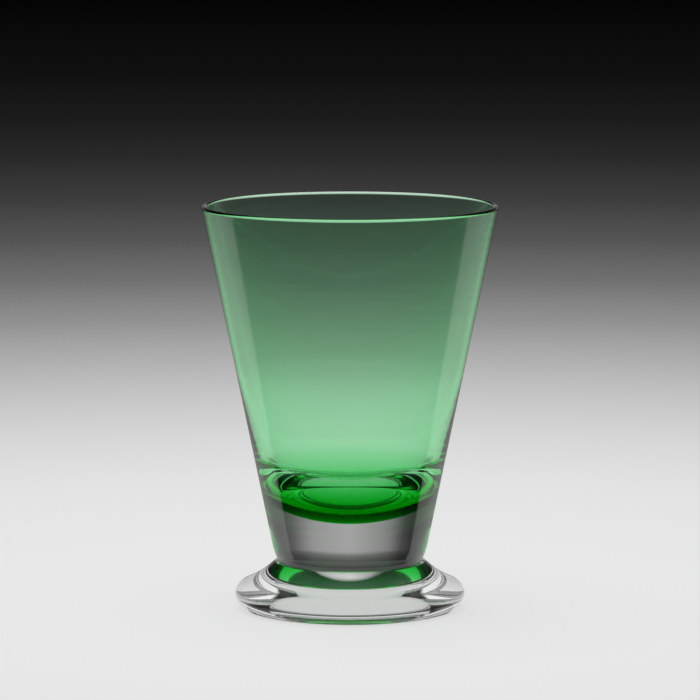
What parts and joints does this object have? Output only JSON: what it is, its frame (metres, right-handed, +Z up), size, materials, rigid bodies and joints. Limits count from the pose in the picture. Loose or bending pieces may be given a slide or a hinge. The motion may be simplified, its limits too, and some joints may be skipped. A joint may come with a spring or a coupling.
{
  "type": "lowball glass",
  "caption": "Footed lowball tumbler of cased glass: conical bowl with a green lining in a clear casing, thick clear base, low spread foot.",
  "frame": {"origin": "centre of the ring the foot stands on, at table height", "axes": "+Z up along the axis of the glass; X and Y are alike because the glass is turned"},
  "size_m": [0.085, 0.085, 0.1166],
  "materials": {
    "green_glass": "transparent green, fire-polished",
    "bowl_glass": "clear, fire-polished",
    "foot_glass": "clear, fire-polished, faint tool marks"
  },
  "bodies": {
    "root": {"green_lining": "green_glass", "clear_casing": "bowl_glass", "foot": "foot_glass"}
  },
  "joints": []
}
